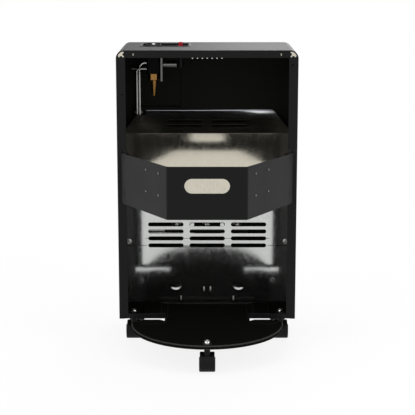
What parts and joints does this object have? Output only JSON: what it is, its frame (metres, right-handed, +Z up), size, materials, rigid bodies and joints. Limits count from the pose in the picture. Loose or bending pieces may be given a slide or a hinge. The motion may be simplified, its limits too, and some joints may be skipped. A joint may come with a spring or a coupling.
{
  "type": "portable gas cabinet heater",
  "caption": "Cabinet room heater on casters with its open gas-bottle bay, lift-off retaining band, slotted heat shield and radiant gas burner behind a wire guard.",
  "frame": {"origin": "on the floor under the middle of the heater's bounding box", "axes": "+Z up, +Y towards the heating front, -Y towards the open bottle bay, +X to the right of someone behind the heater"},
  "size_m": [0.42, 0.438, 0.72],
  "materials": {
    "black_paint": "semi-gloss black powder coat",
    "galvanised": "hot-dip galvanised, small spangle",
    "bright_steel": "bright zinc plated",
    "chrome": "bright",
    "aluminised": "satin aluminised sheet",
    "valve_metal": "blackened die casting",
    "brass": "machined",
    "ceramic": "unglazed porous ceramic",
    "black_plastic": "fine grained",
    "caster_plastic": "smooth moulded",
    "red_plastic": "glossy",
    "lead_cover": "silicone sleeve"
  },
  "bodies": {
    "cabinet": {"cabinet_shell": "black_paint", "corner_gussets": "galvanised", "rear_sills": "black_paint", "base_tray": "black_paint", "caster_stems": "bright_steel", "caster_nuts": "bright_steel", "heat_shield": "galvanised", "shield_screws": "bright_steel", "shield_hood": "galvanised", "front_panel": "black_paint", "guard_grille": "chrome", "reflector": "aluminised", "burner_shelf": "galvanised", "ceramic_plaques": "ceramic", "gas_manifold": "bright_steel", "injectors": "brass", "pipe_brackets": "galvanised", "pilot_bracket": "bright_steel", "pilot_burner": "brass", "thermocouple": "bright_steel", "spark_electrode": "ceramic", "control_bezel": "black_plastic", "gas_valve": "valve_metal", "magnet_unit": "bright_steel", "valve_bracket": "galvanised", "hose_nozzle": "brass", "piezo_igniter": "black_plastic", "burner_pipe": "bright_steel", "pilot_pipe": "bright_steel", "ignition_lead": "lead_cover", "burner_body_left": "aluminised", "burner_body_centre": "aluminised", "burner_body_right": "aluminised"},
    "band": {"retaining_band": "black_paint", "band_stiffeners": "black_paint", "band_rivets": "black_paint"},
    "spindle": {"valve_spindle": "bright_steel"},
    "knob": {"control_knob": "black_plastic"},
    "button": {"piezo_button": "red_plastic"},
    "caster_rear": {"caster_rear_housing": "caster_plastic", "caster_rear_axle": "bright_steel"},
    "caster_rear_left_wheel": {"caster_rear_wheel_left": "caster_plastic"},
    "caster_rear_right_wheel": {"caster_rear_wheel_right": "caster_plastic"},
    "caster_side_left": {"caster_side_left_housing": "caster_plastic", "caster_side_left_axle": "bright_steel"},
    "caster_side_left_left_wheel": {"caster_side_left_wheel_left": "caster_plastic"},
    "caster_side_left_right_wheel": {"caster_side_left_wheel_right": "caster_plastic"},
    "caster_side_right": {"caster_side_right_housing": "caster_plastic", "caster_side_right_axle": "bright_steel"},
    "caster_side_right_left_wheel": {"caster_side_right_wheel_left": "caster_plastic"},
    "caster_side_right_right_wheel": {"caster_side_right_wheel_right": "caster_plastic"},
    "caster_front_left": {"caster_front_left_housing": "caster_plastic", "caster_front_left_axle": "bright_steel"},
    "caster_front_left_left_wheel": {"caster_front_left_wheel_left": "caster_plastic"},
    "caster_front_left_right_wheel": {"caster_front_left_wheel_right": "caster_plastic"},
    "caster_front_right": {"caster_front_right_housing": "caster_plastic", "caster_front_right_axle": "bright_steel"},
    "caster_front_right_left_wheel": {"caster_front_right_wheel_left": "caster_plastic"},
    "caster_front_right_right_wheel": {"caster_front_right_wheel_right": "caster_plastic"}
  },
  "joints": [
    {"name": "band_lift", "type": "slide", "parent": "cabinet", "child": "band", "axis": [0, 0, 1], "range_m": [0, 0.01]},
    {"name": "knob_push", "type": "slide", "parent": "cabinet", "child": "spindle", "axis": [0, 0, -1], "range_m": [0, 0.004], "stiffness_N_per_m": 900, "springref_m": -0.003},
    {"name": "knob_turn", "type": "hinge", "parent": "spindle", "child": "knob", "pos_m": [-0.129, 0.119, 0.708], "axis": [0, 0, 1], "range_deg": [0, 240]},
    {"name": "button_push", "type": "slide", "parent": "cabinet", "child": "button", "axis": [0, 0, -1], "range_m": [0, 0.006], "stiffness_N_per_m": 700, "springref_m": -0.003},
    {"name": "caster_rear_swivel", "type": "hinge", "parent": "cabinet", "child": "caster_rear", "pos_m": [0, -0.203, 0.05], "axis": [0, 0, 1], "continuous": true},
    {"name": "caster_rear_left_roll", "type": "hinge", "parent": "caster_rear", "child": "caster_rear_left_wheel", "pos_m": [0, -0.193, 0.022], "axis": [1, 0, 0], "continuous": true},
    {"name": "caster_rear_right_roll", "type": "hinge", "parent": "caster_rear", "child": "caster_rear_right_wheel", "pos_m": [0, -0.193, 0.022], "axis": [1, 0, 0], "continuous": true},
    {"name": "caster_side_left_swivel", "type": "hinge", "parent": "cabinet", "child": "caster_side_left", "pos_m": [-0.18, 0.045, 0.05], "axis": [0, 0, 1], "continuous": true},
    {"name": "caster_side_left_left_roll", "type": "hinge", "parent": "caster_side_left", "child": "caster_side_left_left_wheel", "pos_m": [-0.18, 0.055, 0.022], "axis": [1, 0, 0], "continuous": true},
    {"name": "caster_side_left_right_roll", "type": "hinge", "parent": "caster_side_left", "child": "caster_side_left_right_wheel", "pos_m": [-0.18, 0.055, 0.022], "axis": [1, 0, 0], "continuous": true},
    {"name": "caster_side_right_swivel", "type": "hinge", "parent": "cabinet", "child": "caster_side_right", "pos_m": [0.18, 0.045, 0.05], "axis": [0, 0, 1], "continuous": true},
    {"name": "caster_side_right_left_roll", "type": "hinge", "parent": "caster_side_right", "child": "caster_side_right_left_wheel", "pos_m": [0.18, 0.055, 0.022], "axis": [1, 0, 0], "continuous": true},
    {"name": "caster_side_right_right_roll", "type": "hinge", "parent": "caster_side_right", "child": "caster_side_right_right_wheel", "pos_m": [0.18, 0.055, 0.022], "axis": [1, 0, 0], "continuous": true},
    {"name": "caster_front_left_swivel", "type": "hinge", "parent": "cabinet", "child": "caster_front_left", "pos_m": [-0.18, 0.181, 0.05], "axis": [0, 0, 1], "continuous": true},
    {"name": "caster_front_left_left_roll", "type": "hinge", "parent": "caster_front_left", "child": "caster_front_left_left_wheel", "pos_m": [-0.18, 0.191, 0.022], "axis": [1, 0, 0], "continuous": true},
    {"name": "caster_front_left_right_roll", "type": "hinge", "parent": "caster_front_left", "child": "caster_front_left_right_wheel", "pos_m": [-0.18, 0.191, 0.022], "axis": [1, 0, 0], "continuous": true},
    {"name": "caster_front_right_swivel", "type": "hinge", "parent": "cabinet", "child": "caster_front_right", "pos_m": [0.18, 0.181, 0.05], "axis": [0, 0, 1], "continuous": true},
    {"name": "caster_front_right_left_roll", "type": "hinge", "parent": "caster_front_right", "child": "caster_front_right_left_wheel", "pos_m": [0.18, 0.191, 0.022], "axis": [1, 0, 0], "continuous": true},
    {"name": "caster_front_right_right_roll", "type": "hinge", "parent": "caster_front_right", "child": "caster_front_right_right_wheel", "pos_m": [0.18, 0.191, 0.022], "axis": [1, 0, 0], "continuous": true}
  ]
}
